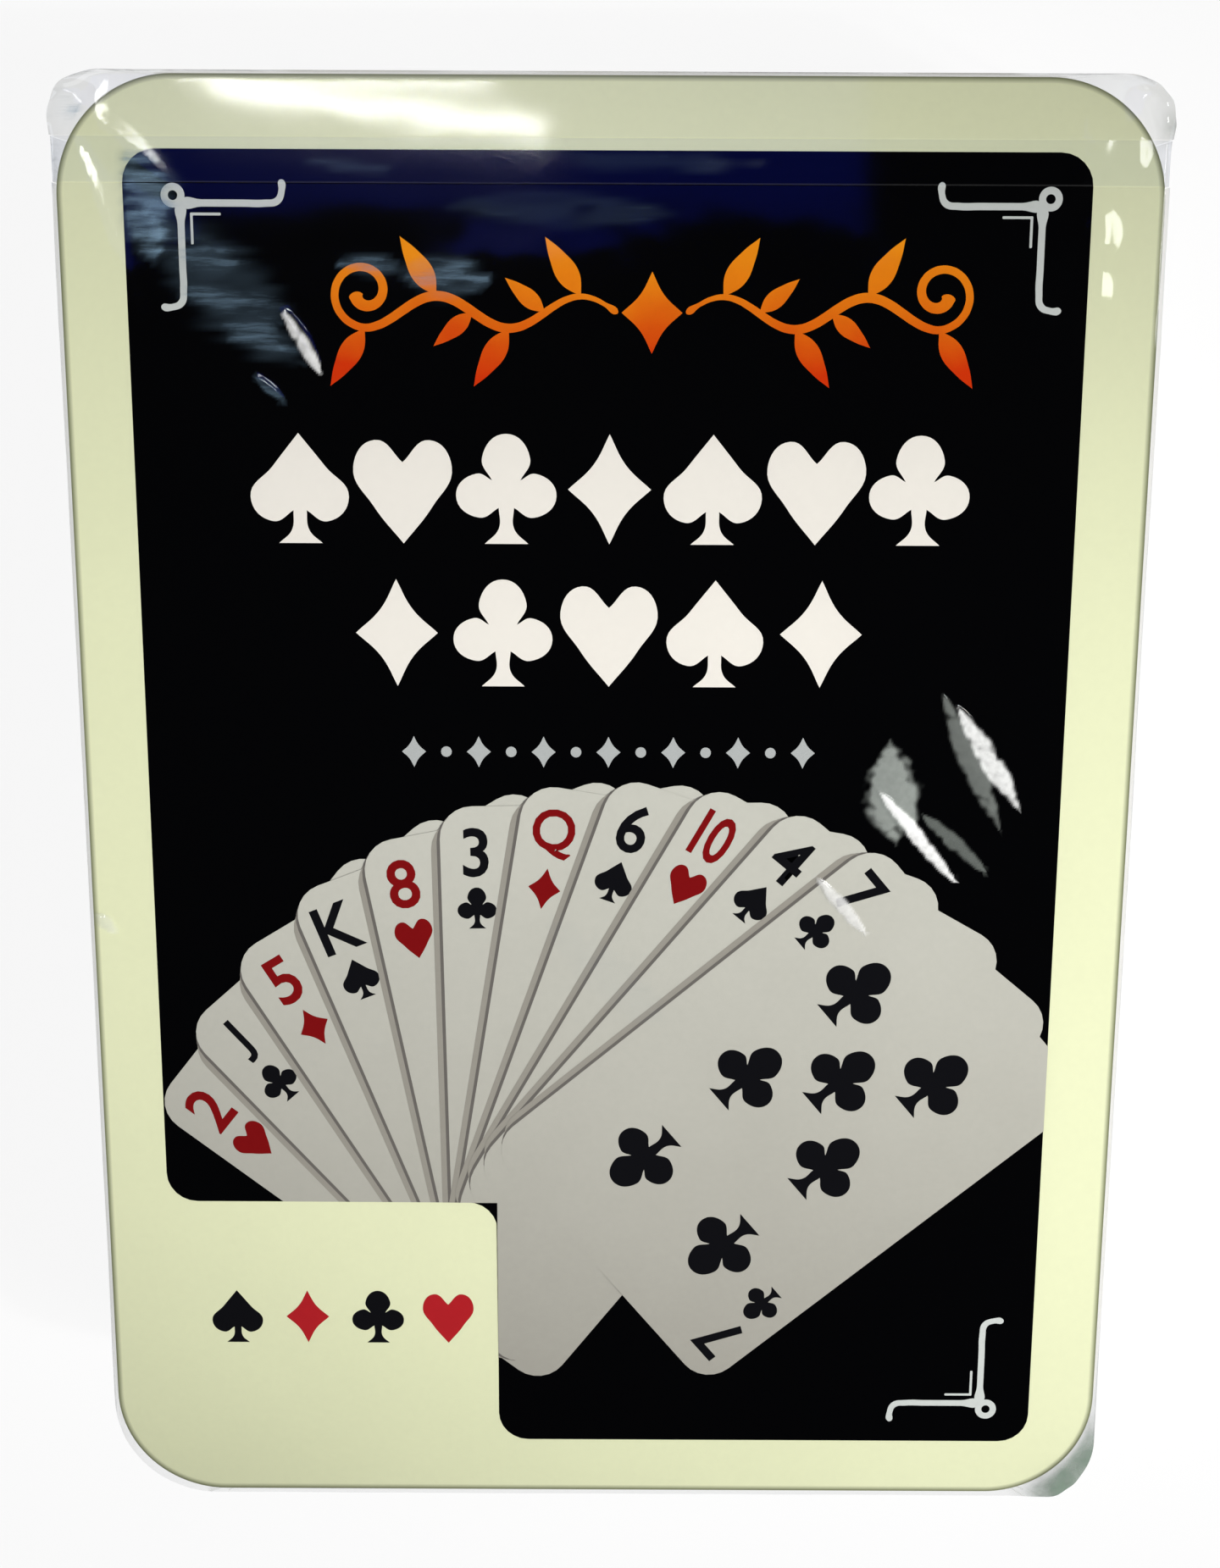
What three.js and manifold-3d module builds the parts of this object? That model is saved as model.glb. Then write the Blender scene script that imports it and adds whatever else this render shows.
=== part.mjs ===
// A new deck of playing cards in its clear overwrap, lying on its back with the cover card upwards.
// Millimetres, +Z up, +X to the right of the cover, +Y towards the top edge of the cards.
// The origin is on the surface that the deck lies on, under the middle of the pack.
// Each card slides along +Y out of the wrap, and a spread moves the lower cards furthest.

import * as THREE from "three";
import { mergeVertices } from "three/addons/utils/BufferGeometryUtils.js";
import Module from "manifold-3d";

// The card
const CARD_WIDTH = 63;
const CARD_LENGTH = 88;
const CARD_THICKNESS = 0.26;
const CARD_CORNER_RADIUS = 6.8;
const CARD_AIR_GAP = 0.04;

// The clear overwrap
const FILM_WALL = 0.1;
const FILM_CLEARANCE = 0.12;
const FILM_CORNER_RADIUS = 3;

// The tear tape round the top of the wrap, and its free end
const TAPE_WIDTH = 2.5;
const TAPE_BELOW_CARD_TOP = 3.4;
const TEAR_GAP = 0.05;
const TAB_LENGTH = 7;

// Half the number of straight steps in each round corner
const CORNER_STEPS = 3;

// The deck from the top down: the cover, two jokers, then the four suits as a new deck is sorted
const RANKS = [
  "ace", "two", "three", "four", "five", "six", "seven",
  "eight", "nine", "ten", "jack", "queen", "king",
];
const RANKS_DOWN = [...RANKS].reverse();
const DECK_FROM_TOP = [
  "cover_card",
  "joker_red",
  "joker_black",
  ...RANKS.map((rank) => `${rank}_of_spades`),
  ...RANKS.map((rank) => `${rank}_of_diamonds`),
  ...RANKS_DOWN.map((rank) => `${rank}_of_clubs`),
  ...RANKS_DOWN.map((rank) => `${rank}_of_hearts`),
];

// Sizes that follow from the values above
const CARD_PITCH = CARD_THICKNESS + CARD_AIR_GAP;
const STACK_HEIGHT = DECK_FROM_TOP.length * CARD_PITCH - CARD_AIR_GAP;
const FILM_MARGIN = FILM_CLEARANCE + FILM_WALL;
const FILM_WIDTH = CARD_WIDTH + 2 * FILM_MARGIN;
const FILM_LENGTH = CARD_LENGTH + 2 * FILM_MARGIN;
const FILM_HEIGHT = STACK_HEIGHT + 2 * FILM_MARGIN;
const TAPE_TOP_Y = CARD_LENGTH / 2 - TAPE_BELOW_CARD_TOP;
const TAPE_BOTTOM_Y = TAPE_TOP_Y - TAPE_WIDTH;
const TAB_BOTTOM_Z = (FILM_HEIGHT - TAB_LENGTH) / 2;

const wasm = await Module();
wasm.setup();

const coverStock = new THREE.MeshStandardMaterial({ color: 0xdde0b8, roughness: 0.45, metalness: 0 });
const cardStock = new THREE.MeshStandardMaterial({ color: 0xefece2, roughness: 0.5, metalness: 0 });
const clearFilm = new THREE.MeshStandardMaterial({
  color: 0xf4f6fa,
  roughness: 0.08,
  metalness: 0,
  transparent: true,
  opacity: 0.3,
});
const tintedFilm = new THREE.MeshStandardMaterial({
  color: 0xc9d3ea,
  roughness: 0.12,
  metalness: 0,
  transparent: true,
  opacity: 0.5,
});

// A rectangle with four round corners, centred on the origin.
function roundedRectangle(width, length, radius) {
  const x = width / 2 - radius;
  const y = length / 2 - radius;
  const quarter = Math.PI / 2;
  const shape = new THREE.Shape();
  shape.absarc(x, y, radius, 0, quarter);
  shape.absarc(-x, y, radius, quarter, 2 * quarter);
  shape.absarc(-x, -y, radius, 2 * quarter, 3 * quarter);
  shape.absarc(x, -y, radius, 3 * quarter, 4 * quarter);
  return shape;
}

// A flat block with round corners, standing on z = 0.
function roundedBlock(width, length, radius, height) {
  return new THREE.ExtrudeGeometry(roundedRectangle(width, length, radius), {
    depth: height,
    curveSegments: CORNER_STEPS,
    bevelEnabled: false,
  });
}

// A plain block between two corners.
function blockBetween(low, high) {
  const size = high.clone().sub(low);
  const middle = low.clone().add(high).multiplyScalar(0.5);
  return new THREE.BoxGeometry(size.x, size.y, size.z).translate(middle.x, middle.y, middle.z);
}

function solidOf(geometry) {
  const bare = geometry.clone();
  bare.deleteAttribute("normal");
  bare.deleteAttribute("uv");
  const merged = mergeVertices(bare);
  return new wasm.Manifold(
    new wasm.Mesh({
      numProp: 3,
      vertProperties: new Float32Array(merged.attributes.position.array),
      triVerts: new Uint32Array(merged.index.array),
    }),
  );
}

function geometryOf(solid) {
  const { vertProperties, triVerts } = solid.getMesh();
  const geometry = new THREE.BufferGeometry();
  geometry.setAttribute("position", new THREE.BufferAttribute(vertProperties, 3));
  geometry.setIndex(new THREE.BufferAttribute(triVerts, 1));
  geometry.computeVertexNormals();
  return geometry;
}

function part(name, geometry, material) {
  const mesh = new THREE.Mesh(geometry, material);
  mesh.name = name;
  return mesh;
}

// The whole wrap as one closed skin. The sleeve, tape, tab and cap are all cut from it, so they stay flush.
function filmSkin() {
  const outside = roundedBlock(FILM_WIDTH, FILM_LENGTH, FILM_CORNER_RADIUS, FILM_HEIGHT);
  const inside = roundedBlock(
    FILM_WIDTH - 2 * FILM_WALL,
    FILM_LENGTH - 2 * FILM_WALL,
    FILM_CORNER_RADIUS - FILM_WALL,
    FILM_HEIGHT - 2 * FILM_WALL,
  ).translate(0, 0, FILM_WALL);
  return solidOf(outside).subtract(solidOf(inside));
}

// The stretch of the pack from one Y to another, past the wrap on every other side.
function stretchOfPack(fromY, toY) {
  const low = new THREE.Vector3(-FILM_WIDTH, fromY, -FILM_HEIGHT);
  const high = new THREE.Vector3(FILM_WIDTH, toY, 2 * FILM_HEIGHT);
  return solidOf(blockBetween(low, high));
}

// The place of the tape's free end on the left side of the pack, with room round it or without.
function tabPlace(room) {
  const low = new THREE.Vector3(-FILM_WIDTH, TAPE_BOTTOM_Y - room, TAB_BOTTOM_Z - room);
  const high = new THREE.Vector3(0, TAPE_TOP_Y + room, TAB_BOTTOM_Z + TAB_LENGTH + room);
  return solidOf(blockBetween(low, high));
}

// The stacked cards, the cover on top.
function makeDeck() {
  const deck = new THREE.Group();
  const blank = roundedBlock(CARD_WIDTH, CARD_LENGTH, CARD_CORNER_RADIUS, CARD_THICKNESS);
  DECK_FROM_TOP.forEach((name, index) => {
    const card = part(name, blank, name === "cover_card" ? coverStock : cardStock);
    card.position.z = FILM_MARGIN + (DECK_FROM_TOP.length - 1 - index) * CARD_PITCH;
    deck.add(card);
  });
  return deck;
}

// The overwrap: a long sleeve closed at the bottom edge, a shallow cap over the top edge,
// and between them the tear tape with its free end.
function makeWrap() {
  const wrap = new THREE.Group();
  const skin = filmSkin();
  const sleeve = skin.intersect(stretchOfPack(-FILM_LENGTH, TAPE_BOTTOM_Y - TEAR_GAP));
  const cap = skin.intersect(stretchOfPack(TAPE_TOP_Y + TEAR_GAP, FILM_LENGTH));
  const band = skin.intersect(stretchOfPack(TAPE_BOTTOM_Y, TAPE_TOP_Y));
  wrap.add(part("film_sleeve", geometryOf(sleeve), clearFilm));
  wrap.add(part("film_cap", geometryOf(cap), clearFilm));
  wrap.add(part("tear_tape", geometryOf(band.subtract(tabPlace(TEAR_GAP))), tintedFilm));
  wrap.add(part("tear_tab", geometryOf(band.intersect(tabPlace(0))), tintedFilm));
  return wrap;
}

const pack = new THREE.Group();
pack.add(makeDeck(), makeWrap());

export default pack;
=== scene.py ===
# %% [markdown]
# # A new deck of playing cards in clear film
#
# The real object is a stack of coated cards with large round corners. A printed cover card lies on top of the
# stack, and a thin clear film is folded round all of it, with a tear tape near the top edge.
# The solid cards come from the frame and keep their shape. This file adds what a printer and a wrapping
# machine add: ink on every card, and film with folds, loose corners and creases.

# %% Load the frame and take the sizes from it
import math

import bmesh
import bpy
from mathutils import Matrix, Vector, noise


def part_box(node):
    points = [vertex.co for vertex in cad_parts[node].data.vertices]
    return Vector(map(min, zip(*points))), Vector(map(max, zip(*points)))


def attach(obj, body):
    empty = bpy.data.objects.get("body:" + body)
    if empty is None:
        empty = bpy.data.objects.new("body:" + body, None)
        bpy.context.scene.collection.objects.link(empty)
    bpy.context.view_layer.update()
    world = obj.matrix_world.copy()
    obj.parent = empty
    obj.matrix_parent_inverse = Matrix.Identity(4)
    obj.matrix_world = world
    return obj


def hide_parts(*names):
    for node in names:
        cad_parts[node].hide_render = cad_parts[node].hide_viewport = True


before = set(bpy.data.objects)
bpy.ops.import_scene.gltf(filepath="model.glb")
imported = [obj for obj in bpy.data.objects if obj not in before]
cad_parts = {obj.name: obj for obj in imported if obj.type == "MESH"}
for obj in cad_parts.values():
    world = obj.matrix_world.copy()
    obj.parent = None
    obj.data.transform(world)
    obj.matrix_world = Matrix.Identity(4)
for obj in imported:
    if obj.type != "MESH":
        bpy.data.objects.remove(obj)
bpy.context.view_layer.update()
MM = 0.001
COVER_LOW, COVER_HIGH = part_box("cover_card")
SLEEVE_LOW, SLEEVE_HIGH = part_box("film_sleeve")
CAP_LOW, CAP_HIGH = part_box("film_cap")
HALF_WIDTH = COVER_HIGH.x / MM
HALF_LENGTH = COVER_HIGH.y / MM
CARD_CORNER = 6.8
CARD_PITCH = 0.30
print("card", 2 * HALF_WIDTH, "by", 2 * HALF_LENGTH, "mm, cover face at", COVER_HIGH.z / MM, "mm")

# %% [markdown]
# ## The camera
#
# The deck lies on its back, so the photograph's view is from above, a little nearer to the top edge.
# The tilt is the one that makes the printed border even on all four sides. The camera is placed by saying
# where the middle of the cover lies in front of it, which is easier to measure than the camera's own place.

# %% Set up the camera
CAMERA_TILT = math.radians(12.5)
CAMERA_ROLL = math.radians(-0.262)
COVER_SEEN_AT = Vector((-0.12, -3.17, -124.9)) * MM
LENS = 47.2
SENSOR = 36.0

camera_data = bpy.data.cameras.new("camera")
camera_data.lens = LENS
camera_data.sensor_width = SENSOR
camera_data.clip_start = 0.01
camera = bpy.data.objects.new("camera", camera_data)
bpy.context.collection.objects.link(camera)
turned = Matrix.Rotation(CAMERA_ROLL, 3, "Z") @ Matrix.Rotation(CAMERA_TILT, 3, "X")
turned.transpose()
camera_place = Vector((0, 0, COVER_HIGH.z)) - turned @ COVER_SEEN_AT
camera.matrix_world = Matrix.Translation(camera_place) @ turned.to_4x4()
bpy.context.scene.camera = camera
bpy.context.scene.view_settings.view_transform = "Standard"
print("camera at", [round(value / MM, 1) for value in camera_place], "mm")

# %% [markdown]
# ## Building node trees
#
# Every finish below is a small tree of nodes. One helper adds a node, sets its properties and either fills or
# links its sockets. Short ones for the common nodes build on it, so that each finish reads as a list of what
# feeds what.


# %% Helpers for node trees
def feed(tree, socket, value):
    """Links a socket to another node's output, or fills it with a number or a colour."""
    if isinstance(value, bpy.types.NodeSocket):
        tree.links.new(value, socket)
    else:
        socket.default_value = value


def add_node(tree, kind, sockets=None, **properties):
    made = tree.nodes.new(kind)
    for name, value in properties.items():
        setattr(made, name, value)
    for name, value in (sockets or {}).items():
        feed(tree, made.inputs[name], value)
    return made


def maths(tree, operation, first, second=0.0, clamp=False):
    sockets = {0: first, 1: second}
    return add_node(tree, "ShaderNodeMath", sockets, operation=operation, use_clamp=clamp).outputs[0]


def vector_maths(tree, operation, *values):
    made = add_node(tree, "ShaderNodeVectorMath", dict(enumerate(values)), operation=operation)
    return made.outputs["Value" if operation == "LENGTH" else "Vector"]


def mix_colour(tree, share, first, second, blend="MIX"):
    sockets = {"Factor": share, "A": first, "B": second}
    mixer = add_node(tree, "ShaderNodeMix", data_type="RGBA", blend_type=blend)
    for socket in mixer.inputs:
        if socket.enabled and socket.name in sockets:
            feed(tree, socket, sockets[socket.name])
    return next(socket for socket in mixer.outputs if socket.enabled)


def mix_shader(tree, share, first, second):
    return add_node(tree, "ShaderNodeMixShader", {0: share, 1: first, 2: second}).outputs[0]


def object_place(tree):
    """A point's place in the frame, in metres."""
    return add_node(tree, "ShaderNodeTexCoord").outputs["Object"]


def split(tree, vector):
    return add_node(tree, "ShaderNodeSeparateXYZ", {0: vector}).outputs


def cloud(tree, place, scale, detail=2.0, roughness=0.5):
    """A noise texture, as a value around one half."""
    sockets = {"Vector": place, "Scale": scale, "Detail": detail, "Roughness": roughness}
    return add_node(tree, "ShaderNodeTexNoise", sockets).outputs["Fac"]


def span(tree, value, low, high, to_low=0.0, to_high=1.0):
    """A value's place between low and high, held inside the new range."""
    sockets = {"Value": value, "From Min": low, "From Max": high, "To Min": to_low, "To Max": to_high}
    return add_node(tree, "ShaderNodeMapRange", sockets).outputs["Result"]


def new_group(name, inputs, outputs):
    """An empty shader group with its sockets, and its two end nodes."""
    group = bpy.data.node_groups.new(name, "ShaderNodeTree")
    for label, kind in inputs:
        group.interface.new_socket(label, in_out="INPUT", socket_type=kind)
    for label, kind in outputs:
        group.interface.new_socket(label, in_out="OUTPUT", socket_type=kind)
    return group, group.nodes.new("NodeGroupInput").outputs, group.nodes.new("NodeGroupOutput").inputs


def use_group(tree, group, sockets=None):
    return add_node(tree, "ShaderNodeGroup", sockets, node_tree=group).outputs


def new_material(name):
    material = bpy.data.materials.new(name)
    material.use_nodes = True
    return material, material.node_tree, material.node_tree.nodes["Principled BSDF"]


def sample_colour(red, green, blue):
    """A colour as it reads on a screen, 0 to 255, turned into the linear values that shaders take."""
    def linear(part):
        share = part / 255
        return share / 12.92 if share <= 0.04045 else ((share + 0.055) / 1.055) ** 2.4
    return (linear(red), linear(green), linear(blue), 1.0)


# %% [markdown]
# ## Stage and light
#
# The photograph has a pure white ground. The floor is white by its own finish: rays from the camera see it
# mostly as an even white, and the rest is ordinary paint, so a soft shadow still shows.
# From below the floor is clear, and so it is to soft light, so the back of the deck can be looked at.
# The room is pale at the horizon and dark overhead, because the flat film mirrors what is above it,
# and the black print under it has to stay black.
# The even light is a wide sun, and a soft spot makes the deck brightest on the right. Both are left out of
# mirror reflections, because from some sides the film would mirror them as one burnt-out patch.
# The small lamps under the ceiling give almost no light. They are there to be seen in the film: a dark blue
# window and two tubes along the top edge, a panel that the dents at the upper right pick up, and a strip that
# only film bent towards the top edge can mirror.

# %% Make the floor
FLOOR_SIDE = 4.0
FLOOR_OWN_WHITE = 0.9


def floor_finish():
    material, tree, paint = new_material("floor_white")
    paint.inputs["Base Color"].default_value = (0.9, 0.9, 0.9, 1)
    paint.inputs["Roughness"].default_value = 0.9
    glow = add_node(tree, "ShaderNodeEmission", {"Strength": 1.0})
    clear = add_node(tree, "ShaderNodeBsdfTransparent")
    path = add_node(tree, "ShaderNodeLightPath").outputs
    seen = maths(tree, "MAXIMUM", path["Is Camera Ray"], path["Is Glossy Ray"])
    seen = maths(tree, "MAXIMUM", seen, path["Is Transmission Ray"])
    share = maths(tree, "MULTIPLY", seen, FLOOR_OWN_WHITE)
    above = mix_shader(tree, share, paint.outputs[0], glow.outputs[0])
    under = add_node(tree, "ShaderNodeNewGeometry").outputs["Backfacing"]
    through = maths(tree, "MAXIMUM", under, path["Is Diffuse Ray"])
    whole = mix_shader(tree, through, above, clear.outputs[0])
    tree.links.new(whole, tree.nodes["Material Output"].inputs["Surface"])
    return material


def new_object(name, shape, *materials):
    """Turns a finished bmesh into an object that sits at the origin."""
    mesh = bpy.data.meshes.new(name)
    shape.to_mesh(mesh)
    shape.free()
    for material in materials:
        mesh.materials.append(material)
    made = bpy.data.objects.new(name, mesh)
    bpy.context.collection.objects.link(made)
    return made


def box_between(low, high):
    """A plain box between two corners, as a bmesh to work on."""
    shape = bmesh.new()
    bmesh.ops.create_cube(shape, size=1)
    bmesh.ops.scale(shape, vec=high - low, verts=shape.verts)
    bmesh.ops.translate(shape, vec=(low + high) / 2, verts=shape.verts)
    return shape


ground = bmesh.new()
bmesh.ops.create_grid(ground, x_segments=1, y_segments=1, size=FLOOR_SIDE / 2)
floor = new_object("floor", ground, floor_finish())

# %% Light the room
ZENITH_LIGHT = (0.008, 0.009, 0.012, 1)
HORIZON_LIGHT = (0.92, 0.93, 0.94, 1)
PALE_BELOW, DARK_ABOVE = 0.2, 0.72

world = bpy.data.worlds.new("room")
bpy.context.scene.world = world
world.use_nodes = True
room = world.node_tree
facing = add_node(room, "ShaderNodeTexCoord").outputs["Generated"]
overhead = span(room, split(room, facing)["Z"], PALE_BELOW, DARK_ABOVE)
room_colour = mix_colour(room, overhead, HORIZON_LIGHT, ZENITH_LIGHT)
room.links.new(room_colour, room.nodes["Background"].inputs["Color"])


def hang(lamp, place, aim, stretch=1.0, turn=0.0):
    """Hangs a lamp so that it faces a point, turned about its own axis. Places are in millimetres."""
    holder = bpy.data.objects.new(lamp.name, lamp)
    holder.location = Vector(place) * MM
    holder.rotation_euler = (Vector(aim) - Vector(place)).to_track_quat("-Z", "Y").to_euler()
    holder.rotation_euler.rotate_axis("Z", math.radians(turn))
    holder.scale = (stretch, 1, 1)
    bpy.context.collection.objects.link(holder)
    return holder


def hang_panel(name, place, size, watts, colour=(1, 1, 1), turn=0.0, aim=None):
    """A soft rectangular lamp, which faces straight down if it has no aim."""
    lamp = bpy.data.lights.new(name, "AREA")
    lamp.shape = "RECTANGLE"
    lamp.size, lamp.size_y = size[0] * MM, size[1] * MM
    lamp.energy = watts
    lamp.color = colour
    hang(lamp, place, aim or (place[0], place[1], 0), turn=turn)


def hang_spot(name, place, aim, radius, watts, stretch):
    """A soft oval pool of light on the deck."""
    lamp = bpy.data.lights.new(name, "SPOT")
    lamp.spot_size = 2 * math.atan(radius / (Vector(aim) - Vector(place)).length)
    lamp.spot_blend = 1.0
    lamp.shadow_soft_size = 20 * MM
    lamp.energy = watts
    hang(lamp, place, aim, stretch).visible_glossy = False


CEILING, TUBES = 617, 605
WARM_WHITE = (1.0, 0.98, 0.95)
DEEP_BLUE = (0.02, 0.05, 1.0)
key = bpy.data.lights.new("key", "SUN")
key.energy = 1.26
key.angle = math.radians(20)
key.color = WARM_WHITE
hang(key, (430, -150, 430), (0, 0, 17)).visible_glossy = False
hang_spot("pool", (330, -110, 430), (24, -12, 17), 98, 11.8, 0.66)
hang_panel("strip", (-75, 270, 580), (180, 120), 0.10, aim=(-15, 42, 17))
hang_panel("window", (-43, 120, CEILING), (254, 104), 0.045, DEEP_BLUE)
hang_panel("upper tube", (-92, 111, TUBES), (103, 4), 0.024, turn=-1.5)
hang_panel("lower tube", (-77, 101, TUBES), (110, 7), 0.042, turn=-7.0)
hang_panel("side panel", (235, 75, CEILING), (36, 90), 0.09)
print("lamps:", [lamp.name for lamp in bpy.data.lights])

# %% [markdown]
# ## Card and ink
#
# Printed card is never one flat colour. The ink lies in a fine mottle, the sheen changes a little from place
# to place, and the cut edge is darker than the face. One group gives the mottle to every ink and stock.
# A second measures how far a point lies inside the card's round-cornered outline, in millimetres. A third
# draws the lattice on the backs.


# %% Group: print mottle
FIBRE_SCALE, BLOTCH_SCALE = 2600.0, 90.0
SHEEN_SWING = 0.5


def make_print_mottle():
    number, colour = "NodeSocketFloat", "NodeSocketColor"
    group, given, result = new_group(
        "print_mottle",
        [("Colour", colour), ("Mottle", number), ("Roughness", number)],
        [("Colour", colour), ("Roughness", number), ("Height", number)],
    )
    place = object_place(group)
    fibre = cloud(group, place, FIBRE_SCALE, 4.0)
    both = maths(group, "ADD", fibre, cloud(group, place, BLOTCH_SCALE, 3.0))
    swing = maths(group, "MULTIPLY", maths(group, "SUBTRACT", both, 1.0), given["Mottle"])
    level = maths(group, "ADD", swing, 1.0)
    shade = add_node(group, "ShaderNodeCombineColor", {0: level, 1: level, 2: level}).outputs[0]
    group.links.new(mix_colour(group, 1.0, given["Colour"], shade, "MULTIPLY"), result["Colour"])
    rough = maths(group, "ADD", given["Roughness"], maths(group, "MULTIPLY", swing, SHEEN_SWING))
    group.links.new(rough, result["Roughness"])
    group.links.new(fibre, result["Height"])
    return group


PRINT_MOTTLE = make_print_mottle()


# %% Group: distance inside the card's outline
def make_card_outline():
    group, _, result = new_group("card_outline", [], [("Inside", "NodeSocketFloat")])
    flat = vector_maths(group, "MULTIPLY", object_place(group), (1 / MM, 1 / MM, 0))
    straight = (HALF_WIDTH - CARD_CORNER, HALF_LENGTH - CARD_CORNER, 0)
    past = vector_maths(group, "SUBTRACT", vector_maths(group, "ABSOLUTE", flat), straight)
    arc = vector_maths(group, "LENGTH", vector_maths(group, "MAXIMUM", past, (0, 0, 0)))
    parts = split(group, past)
    within = maths(group, "MINIMUM", maths(group, "MAXIMUM", parts["X"], parts["Y"]), 0.0)
    outside = maths(group, "SUBTRACT", maths(group, "ADD", arc, within), CARD_CORNER)
    group.links.new(maths(group, "MULTIPLY", outside, -1.0), result["Inside"])
    return group


CARD_OUTLINE = make_card_outline()


# %% Group: lattice on the backs of the cards
LATTICE_PITCH = 3.2
BACK_MARGIN = 4.2
BACK_RULE = 0.45
LINE_EDGE, DOT_EDGE = (0.10, 0.13), (0.78, 0.82)


def make_back_lattice():
    group, _, result = new_group("back_lattice", [], [("Ink", "NodeSocketFloat")])
    parts = split(group, object_place(group))
    rays = []
    for operation in ("ADD", "SUBTRACT"):
        along = maths(group, "DIVIDE", maths(group, operation, parts["X"], parts["Y"]), LATTICE_PITCH * MM)
        rays.append(maths(group, "PINGPONG", along, 0.5))
    lines = span(group, maths(group, "MINIMUM", *rays), *LINE_EDGE, 1.0, 0.0)
    dots = span(group, maths(group, "ADD", *rays), *DOT_EDGE)
    pattern = maths(group, "MAXIMUM", lines, dots)
    inside = use_group(group, CARD_OUTLINE)["Inside"]
    field = maths(group, "GREATER_THAN", inside, BACK_MARGIN + 2 * BACK_RULE)
    edge = maths(group, "ABSOLUTE", maths(group, "SUBTRACT", inside, BACK_MARGIN))
    rule = maths(group, "LESS_THAN", edge, BACK_RULE)
    group.links.new(maths(group, "MAXIMUM", maths(group, "MULTIPLY", pattern, field), rule), result["Ink"])
    return group


BACK_LATTICE = make_back_lattice()

# %% [markdown]
# ## Stock for the cover and for the cards
#
# The cover is cream and coated, with a thin darker line painted along its outline as painted shade of its
# edge.
# The other cards are ivory, with a blue lattice on the back, and each card's cut edge differs a little from
# the next, which is what makes the side of a deck look like a stack and not like a block.

# %% Stock finishes
CREAM = sample_colour(230, 233, 193)
# A darker cream, painted along the cover's outline as the shade of its edge.
CREAM_EDGE_SHADE = sample_colour(126, 130, 98)
IVORY = sample_colour(240, 237, 228)
CUT_EDGE = sample_colour(222, 217, 203)
BACK_BLUE = sample_colour(38, 66, 130)
EDGE_SHADE_WIDTH = 0.35
STOCK_RELIEF, INK_RELIEF = 0.004, 0.002
RELIEF_STRENGTH = 0.4


def print_on(tree, shader, colour, mottle, roughness, relief=0.0):
    """Gives a finish its mottled colour and sheen, and a fine relief in millimetres."""
    mottled = use_group(tree, PRINT_MOTTLE, {"Colour": colour, "Mottle": mottle, "Roughness": roughness})
    tree.links.new(mottled["Colour"], shader.inputs["Base Color"])
    tree.links.new(mottled["Roughness"], shader.inputs["Roughness"])
    if relief:
        sockets = {"Height": mottled["Height"], "Distance": relief * MM, "Strength": RELIEF_STRENGTH}
        lifted = add_node(tree, "ShaderNodeBump", sockets)
        tree.links.new(lifted.outputs["Normal"], shader.inputs["Normal"])


def cover_stock_finish():
    material, tree, shader = new_material("cover_stock")
    inside = use_group(tree, CARD_OUTLINE)["Inside"]
    # Painted shade: the colour darkens within a thin band along the outline.
    painted_edge_shade = span(tree, inside, 0.05, EDGE_SHADE_WIDTH, 1.0, 0.0)
    print_on(tree, shader, mix_colour(tree, painted_edge_shade, CREAM, CREAM_EDGE_SHADE), 0.06, 0.42, STOCK_RELIEF)
    shader.inputs["Coat Weight"].default_value = 0.25
    shader.inputs["Coat Roughness"].default_value = 0.2
    return material


def card_stock_finish():
    material, tree, shader = new_material("card_stock")
    coordinates = add_node(tree, "ShaderNodeTexCoord").outputs
    up = split(tree, coordinates["Normal"])["Z"]
    back = maths(tree, "LESS_THAN", up, -0.5)
    side = maths(tree, "LESS_THAN", maths(tree, "ABSOLUTE", up), 0.5)
    layer = maths(tree, "DIVIDE", split(tree, coordinates["Object"])["Z"], CARD_PITCH * MM)
    layer = maths(tree, "FLOOR", layer)
    chance = add_node(tree, "ShaderNodeTexWhiteNoise", {"W": layer}, noise_dimensions="1D").outputs["Value"]
    paler = mix_colour(tree, chance, CUT_EDGE, IVORY)
    printed = maths(tree, "MULTIPLY", back, use_group(tree, BACK_LATTICE)["Ink"])
    colour = mix_colour(tree, printed, IVORY, BACK_BLUE)
    print_on(tree, shader, mix_colour(tree, side, colour, paler), 0.07, 0.45, STOCK_RELIEF)
    shader.inputs["Coat Weight"].default_value = 0.15
    shader.inputs["Coat Roughness"].default_value = 0.25
    return material


def dress(name, material):
    """Gives a solid from the frame its finish."""
    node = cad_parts[name]
    node.data.materials.clear()
    node.data.materials.append(material)


COVER_STOCK = cover_stock_finish()
CARD_STOCK = card_stock_finish()
CARDS = [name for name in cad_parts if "_of_" in name or name.startswith("joker")]
for name in CARDS:
    dress(name, CARD_STOCK)
print(len(CARDS), "cards under the cover")

# %% [markdown]
# The cover's outline is the one that shows close up, so the cover is made again at the same size and place,
# with many fine steps round each corner in place of the few that the solid card has.

# %% Make the cover card with truly round corners
CORNER_STEPS = 24
cover_sheet = box_between(COVER_LOW, COVER_HIGH)
upright = [edge for edge in cover_sheet.edges if edge.verts[0].co.xy == edge.verts[1].co.xy]
bmesh.ops.bevel(
    cover_sheet, geom=upright, offset=CARD_CORNER * MM, offset_type="OFFSET", segments=CORNER_STEPS,
    profile=0.5, affect="EDGES", material=-1,
)
cover_piece = new_object("cover_sheet", cover_sheet, COVER_STOCK)
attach(cover_piece, "cover_card")
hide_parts("cover_card")
print("cover outline:", len(cover_piece.data.vertices) // 2, "points from", len(upright), "corners")


# %% Inks
SOFT_SHEEN = 0.12
FADE_SCALE, FADE_SWING = 260.0, 4.0


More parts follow.
